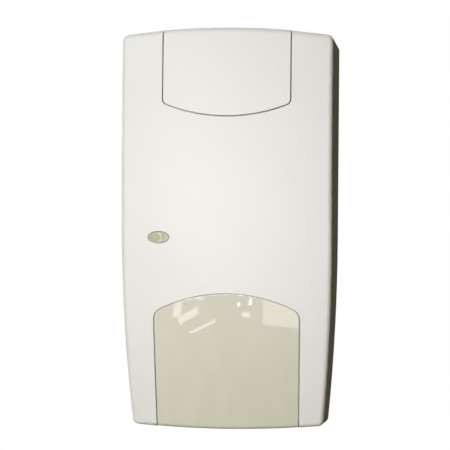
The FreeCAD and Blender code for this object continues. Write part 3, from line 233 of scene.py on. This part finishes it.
def metal(name, light, dark, grain_mm, smoothest, roughest, stretch=(1.0, 1.0, 1.0)):
    """A plated or bare metal: the base colour is the metal's own, and a fine streak or mottle varies its
    polish."""
    material, tree = blank(name)
    place = add(tree, "TexCoord").outputs["Object"]
    drawn = add(tree, "Mapping", {"Vector": place, "Scale": stretch}).outputs[0]
    grain = add(tree, "TexNoise", {"Vector": drawn, "Scale": per_metre(grain_mm), "Detail": 3.0}).outputs[0]
    mottle = add(tree, "MapRange", (grain, 0.3, 0.7, 0.0, 1.0)).outputs[0]
    shader = add(
        tree,
        "BsdfPrincipled",
        {
            "Base Color": add(
                tree, "Mix", {0: mottle, 6: linear(light), 7: linear(dark)}, data_type="RGBA"
            ).outputs[2],
            "Metallic": 1.0,
            "Roughness": add(tree, "MapRange", (grain, 0.3, 0.7, smoothest, roughest)).outputs[0],
            "Normal": add(
                tree, "Bump", {"Strength": 0.3, "Distance": 0.01 * MM, "Height": grain}
            ).outputs[0],
        },
    )
    add(tree, "OutputMaterial", {"Surface": shader.outputs[0]})
    return material


def board_laminate():
    """Glass-epoxy laminate under a green solder mask. Copper tracks lie below the mask as a raised, paler net
    of straight runs, and the cut edge shows the bare yellowish laminate."""
    material, tree = blank("solder_masked_laminate")
    place = add(tree, "TexCoord").outputs["Object"]
    tracks = add(
        tree,
        "TexVoronoi",
        {"Vector": place, "Scale": per_metre(3.2), "Randomness": 0.7},
        distance="MANHATTAN",
    ).outputs["Distance"]
    run = add(tree, "MapRange", (tracks, 0.45, 0.5, 0.0, 1.0)).outputs[0]
    depth = add(tree, "SeparateXYZ", (place,)).outputs["Y"]
    low, high = box_mm("circuit_board")
    middle, core = (low[1] + high[1]) / 2, 0.45 * (high[1] - low[1])
    inside = add(tree, "Math", (depth, middle * MM, core * MM), operation="COMPARE").outputs[0]
    mask = add(
        tree, "Mix", {0: run, 6: linear("#1F5A36"), 7: linear("#2F7A48")}, data_type="RGBA"
    ).outputs[2]
    shader = add(
        tree,
        "BsdfPrincipled",
        {
            "Base Color": add(
                tree, "Mix", {0: inside, 6: mask, 7: linear("#B9B283")}, data_type="RGBA"
            ).outputs[2],
            "Roughness": add(tree, "MapRange", (run, 0.0, 1.0, 0.42, 0.3)).outputs[0],
            "Normal": add(
                tree, "Bump", {"Strength": 0.6, "Distance": 0.035 * MM, "Height": run}
            ).outputs[0],
            "IOR": 1.5,
        },
    )
    add(tree, "OutputMaterial", {"Surface": shader.outputs[0]})
    return material


def cased_with_leads(name, case_light, case_deep, lead, seam_depth_mm):
    """A dark moulded case with bright tinned metal below the depth at which its leads or pins leave it."""
    material, tree = blank(name)
    place = add(tree, "TexCoord").outputs["Object"]
    depth = add(tree, "SeparateXYZ", (place,)).outputs["Y"]
    seam = -seam_depth_mm * MM
    is_case = add(tree, "MapRange", (depth, seam - 0.01 * MM, seam + 0.01 * MM, 1.0, 0.0)).outputs[0]
    grain = add(tree, "TexNoise", {"Vector": place, "Scale": per_metre(0.5), "Detail": 2.0}).outputs[0]
    case = add(
        tree, "Mix", {0: grain, 6: linear(case_light), 7: linear(case_deep)}, data_type="RGBA"
    ).outputs[2]
    shader = add(
        tree,
        "BsdfPrincipled",
        {
            "Base Color": add(
                tree, "Mix", {0: is_case, 6: linear(lead), 7: case}, data_type="RGBA"
            ).outputs[2],
            "Metallic": add(tree, "MapRange", (is_case, 0.0, 1.0, 1.0, 0.0)).outputs[0],
            "Roughness": add(tree, "MapRange", (is_case, 0.0, 1.0, 0.3, 0.55)).outputs[0],
            "Normal": add(
                tree, "Bump", {"Strength": 0.5, "Distance": 0.02 * MM, "Height": grain}
            ).outputs[0],
        },
    )
    add(tree, "OutputMaterial", {"Surface": shader.outputs[0]})
    return material


# A finish gives its light and its deep colour, the width of its grain in mm, for a moulding also the
# grain's height, and the roughness from smoothest to roughest.

# ABS moulded against a spark-eroded tool: a soft, even sheen without a mirror image. Its grain is really
# about 0.05 mm, and is drawn at 0.4 mm, about one pixel of the render, to show at all.
abs_cream = moulded(
    "spark_textured_cream_abs", "#E6E5E2", "#E3E2DE", 0.4, 0.006, 0.42, 0.54, edge_mm=0.3, subsurface=0.1
)
abs_insert = moulded(
    "spark_textured_insert_abs",
    "#E6E5E2",
    "#E3E2DE",
    0.4,
    0.006,
    0.4,
    0.52,
    edge_mm=0.3,
    subsurface=0.1,
    crowned=True,
)
# The base faces the wall, so its tool was only ground: a little glossier and yellower.
abs_base = moulded("ground_tool_cream_abs", "#E8E6DB", "#E3E1D5", 0.6, 0.005, 0.32, 0.44, edge_mm=0.3)
# Cases of the bought parts: filled plastics with a dull, slightly uneven gloss.
relay_case = moulded("moulded_pbt_case", "#2A3F63", "#243757", 0.5, 0.01, 0.25, 0.4)
terminal_case = moulded("moulded_polyamide_case", "#5E7A66", "#557059", 0.5, 0.01, 0.35, 0.5)
switch_case = moulded("black_phenolic_case", "#242424", "#1C1C1D", 0.5, 0.01, 0.35, 0.55)
cap_case = moulded("black_jumper_nylon", "#1E1E20", "#262628", 0.5, 0.01, 0.35, 0.5)
bracket_case = moulded("black_bracket_abs", "#2B2B2A", "#222222", 0.5, 0.01, 0.38, 0.55)
plunger_resin = moulded("red_acetal", "#A53A2C", "#9A3527", 0.5, 0.008, 0.25, 0.35)
# Fired, cast and coated parts: smooth, with a clear highlight.
resistor_case = moulded("glazed_ceramic_chip", "#25262B", "#303138", 0.4, 0.006, 0.15, 0.3)
lamp_resin = moulded("diffused_lamp_epoxy", "#C7BE8C", "#BDB37F", 0.8, 0.01, 0.08, 0.2, subsurface=0.4)
filter_glass = moulded("coated_silicon_filter", "#3B4A58", "#33414F", 1.2, 0.004, 0.05, 0.12)
# Metals: a mirror from the vacuum chamber, dull zinc, a can and a spring with the lines of drawing and
# rolling.
mirror_plating = metal("vacuum_plated_aluminium", "#E9E9E6", "#DCDCD8", 2.5, 0.03, 0.08)
screw_zinc = metal("zinc_plated_steel", "#C9CBCB", "#A9ACAD", 0.4, 0.22, 0.38)
can_nickel = metal("drawn_nickel_can", "#CFCCC3", "#B9B6AD", 0.5, 0.15, 0.28, stretch=(1.0, 0.15, 1.0))
spring_steel = metal("rolled_spring_steel", "#B8B9B9", "#9A9B9C", 0.3, 0.2, 0.34, stretch=(0.1, 1.0, 1.0))
# Epoxy and nylon cases over tinned leads and gilt pins.
chip_package = cased_with_leads("epoxy_chip_package", "#202022", "#2A2A2D", "#C6C6C4", seam_depth_mm=9.82)
pin_header = cased_with_leads(
    "header_with_plated_pins", "#1C1C1E", "#232326", "#C8A85A", seam_depth_mm=12.12
)

FINISHES = {
    "front_housing": abs_cream,
    "cover_insert": abs_insert,
    "rear_base": abs_base,
    "optical_window": window_polyethylene(),
    "led_lens": lens_polycarbonate(),
    "curtain_mirror": mirror_plating,
    "pyro_sensor": can_nickel,
    "sensor_filter": filter_glass,
    "sensor_bracket": bracket_case,
    "circuit_board": board_laminate(),
    "processor_chip": chip_package,
    "amplifier_chip": chip_package,
    "alarm_relay": relay_case,
    "voltage_regulator": switch_case,
    "crystal": can_nickel,
    "capacitors": can_nickel,
    "jumper_pins": pin_header,
    "jumper_caps": cap_case,
    "resistors": resistor_case,
    "indicator_led": lamp_resin,
    "terminal_block": terminal_case,
    "terminal_screws": screw_zinc,
    "tamper_switch": switch_case,
    "switch_plunger": plunger_resin,
    "switch_lever": spring_steel,
    "cover_screw": screw_zinc,
    "board_screws": screw_zinc,
}

for node_name, finish in FINISHES.items():
    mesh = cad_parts[node_name].data
    mesh.materials.clear()
    mesh.materials.append(finish)


# Studio


def surface(name, points):
    """A mesh on a grid of points, of shape rows x columns x 3, with one four-sided face between each four
    neighbours."""
    rows, columns = points.shape[:2]
    index = np.arange(rows * columns).reshape(rows, columns)
    corners = (index[:-1, :-1], index[:-1, 1:], index[1:, 1:], index[1:, :-1])
    faces = np.stack(corners, axis=-1).reshape(-1, 4)
    mesh = bpy.data.meshes.new(name)
    mesh.from_pydata(points.reshape(-1, 3).tolist(), [], faces.tolist())
    item = bpy.data.objects.new(name, mesh)
    bpy.context.scene.collection.objects.link(item)
    return item


def studio_floor():
    """A level square, z = level, with x and y each from -reach to reach."""
    level, reach = -0.60, 2.6
    side = np.linspace(-reach, reach, 9)
    x, y = np.meshgrid(side, side)
    item = surface("studio_floor", np.stack([x, y, np.full_like(x, level)], axis=-1))
    material, tree = blank("pale_painted_floor")
    place = add(tree, "TexCoord").outputs["Object"]
    cloud = add(tree, "TexNoise", {"Vector": place, "Scale": per_metre(300), "Detail": 2.0}).outputs[0]
    seen = add(tree, "LightPath").outputs["Is Camera Ray"]
    # The camera sees the floor as white paper, which still darkens where the object shades it. Its bounce
    # is dim and warm, as in a room, so that the object's underside stays dark.
    pale = add(
        tree, "Mix", {0: cloud, 6: linear("#B9B7AE"), 7: linear("#B4B2A9")}, data_type="RGBA"
    ).outputs[2]
    paint = add(tree, "Mix", {0: seen, 6: linear("#86826A"), 7: pale}, data_type="RGBA").outputs[2]
    lift = add(tree, "MapRange", (seen, 0.0, 1.0, 0.0, 0.75)).outputs[0]
    glow = add(tree, "Emission", {"Color": (1.0, 1.0, 1.0, 1.0), "Strength": lift}).outputs[0]
    sheet = add(tree, "AddShader", (add(tree, "BsdfDiffuse", {"Color": paint}).outputs[0], glow)).outputs[0]
    add(tree, "OutputMaterial", {"Surface": sheet})
    item.data.materials.append(material)


def studio_world():
    """White for what the camera sees directly or through clear plastic. The object itself stands in a dim,
    warm room, and its gloss shows only a small share of the white, which keeps the photograph's dark right
    side."""
    world = bpy.data.worlds.new("studio")
    bpy.context.scene.world = world
    world.use_nodes = True
    tree = world.node_tree
    tree.nodes.clear()
    rays = add(tree, "LightPath").outputs
    straight = (rays["Is Camera Ray"], rays["Is Transmission Ray"])
    direct = add(tree, "Math", straight, operation="MAXIMUM").outputs[0]
    gloss_share = 0.03
    gloss = add(tree, "Math", (rays["Is Glossy Ray"], gloss_share), operation="MULTIPLY").outputs[0]
    seen = add(tree, "Math", (direct, gloss), operation="MAXIMUM").outputs[0]
    room = add(tree, "Background", {"Color": linear("#BBAC70"), "Strength": 0.052}).outputs[0]
    paper = add(tree, "Background", {"Color": (1.0, 1.0, 1.0, 1.0), "Strength": 1.0}).outputs[0]
    add(tree, "OutputWorld", {"Surface": add(tree, "MixShader", (seen, room, paper)).outputs[0]})


def lamp_card(name, place, aim, width, height, watts, tilt=0.0):
    """A rectangular lamp at a place, turned to face its aim, then tilted in its own plane."""
    lamp = bpy.data.lights.new(name, "AREA")
    lamp.shape = "RECTANGLE"
    lamp.size = width
    lamp.size_y = height
    lamp.energy = watts
    item = bpy.data.objects.new(name, lamp)
    item.location = place
    facing = (aim - place).to_track_quat("-Z", "Y") @ Quaternion((0.0, 0.0, 1.0), math.radians(tilt))
    item.rotation_euler = facing.to_euler()
    item.visible_camera = False
    bpy.context.scene.collection.objects.link(item)
    return item


def towards(turn, rise):
    """The direction from the object, turn degrees to the right of its front and rise degrees upwards."""
    turn, rise = math.radians(turn), math.radians(rise)
    return Vector((math.sin(turn) * math.cos(rise), -math.cos(turn) * math.cos(rise), math.sin(rise)))


def softbox(name, turn, rise, distance, width, height, watts):
    """A soft lamp, aimed at the object's middle from that direction and distance."""
    middle = Vector((0.0, -25.0, 0.0)) * MM
    return lamp_card(name, middle + towards(turn, rise) * distance, middle, width, height, watts)


# The photograph is 450 pixels square, and the focal length is given in those pixels.
PHOTO_PIXELS = 450
FOCAL_PIXELS = 2656.5


def photo_view():
    """The photograph's viewpoint with its right, up and backward directions: a little to the object's
    right, from just below its middle."""
    aim, distance, roll = Vector((-2.4, -25.0, 1.92)) * MM, 0.85, math.radians(0.52)
    back = towards(5.4, -1.5)
    level = (-back).cross(Vector((0.0, 0.0, 1.0))).normalized()
    upright = level.cross(-back)
    right = level * math.cos(roll) + upright * math.sin(roll)
    up = upright * math.cos(roll) - level * math.sin(roll)
    return aim + back * distance, right, up, back


def studio_camera():
    """The photograph's camera, at its viewpoint and with its focal length."""
    eye, right, up, back = photo_view()
    lens = bpy.data.cameras.new("photo_camera")
    lens.sensor_fit = "HORIZONTAL"
    lens.sensor_width = 36.0
    lens.lens = lens.sensor_width * FOCAL_PIXELS / PHOTO_PIXELS
    lens.clip_start = 0.01
    lens.clip_end = 50.0
    item = bpy.data.objects.new("photo_camera", lens)
    item.matrix_world = Matrix.Translation(eye) @ Matrix((right, up, back)).transposed().to_4x4()
    bpy.context.scene.collection.objects.link(item)
    bpy.context.scene.camera = item


# The lamps and windows of the room, as the detector's window mirrors them. Each is a name, the middle of
# its image on the window across and up, the image's width and height, all in mm, its glow, and its tilt in
# degrees.
MIRRORED_CARDS = (
    ("window_left_band", -12.0, -27.8, 7.0, 2.4, 4.4, 25.0),
    ("window_left_wedge", -15.5, -25.9, 2.4, 5.2, 4.0, -12.0),
    ("window_left_tip", -8.5, -22.1, 2.4, 1.2, 3.6, 0.0),
    ("window_right", 18.1, -26.2, 12.8, 9.8, 3.0, -3.0),
    ("window_streak", -7.6, -31.5, 8.6, 0.7, 5.6, 17.0),
    ("window_spot_left", 3.7, -23.9, 1.0, 1.2, 9.0, 20.0),
    ("window_spot_right", 7.8, -23.2, 0.7, 1.9, 9.0, 0.0),
    ("window_spot_low", 6.4, -27.2, 2.6, 1.6, 5.0, 0.0),
)


def window_card(name, across, up, width, height, glow, tilt):
    """A small card of light, placed where the window mirrors it to the camera. The window's face falls
    away from its highest point by r - sqrt(r * r - d * d) each way, with the crown's radii as r. A card
    lights no matt face."""
    card_distance = 0.5
    eye = photo_view()[0]
    fall_across = CROWN_ACROSS - math.sqrt(CROWN_ACROSS ** 2 - across ** 2)
    fall_up = CROWN_UP - math.sqrt(CROWN_UP ** 2 - (up - CROWN_LEVEL) ** 2)
    point = Vector((across, fall_across + fall_up - CROWN_DEPTH, up)) * MM
    normal = Vector((across / CROWN_ACROSS, -1.0, (up - CROWN_LEVEL) / CROWN_UP)).normalized()
    ray = (point - eye).normalized()
    mirrored = ray - 2.0 * ray.dot(normal) * normal
    spread = 1.0 + card_distance / (point - eye).length
    card_width = width * MM * (spread + 2.0 * card_distance / (CROWN_ACROSS * MM))
    card_height = height * MM * (spread + 2.0 * card_distance / (CROWN_UP * MM))
    watts = glow * math.pi * card_width * card_height
    item = lamp_card(name, point + mirrored * card_distance, point, card_width, card_height, watts, tilt)
    item.visible_diffuse = False


studio_floor()
studio_world()
# The key lights the face a little from above. Its sheen is thrown from lower down, so that it lies on the
# middle of the crowned face, as in the photograph, and not in the window.
key = softbox("key_softbox", -19.0, 7.0, 1.6, 0.8, 0.6, 20.2)
key.visible_glossy = False
sheen = softbox("sheen_softbox", -5.0, -8.5, 1.6, 0.8, 0.4, 27.5)
sheen.visible_diffuse = False
softbox("upper_fill", -25.0, 28.0, 1.7, 0.9, 0.9, 4.5)
softbox("overhead_softbox", 172.0, 64.0, 1.5, 1.0, 1.0, 4.0)
softbox("rear_softbox", -153.0, 18.0, 1.65, 1.2, 1.2, 24.0)
for card in MIRRORED_CARDS:
    window_card(*card)
studio_camera()

bpy.context.scene.view_settings.view_transform = "Standard"
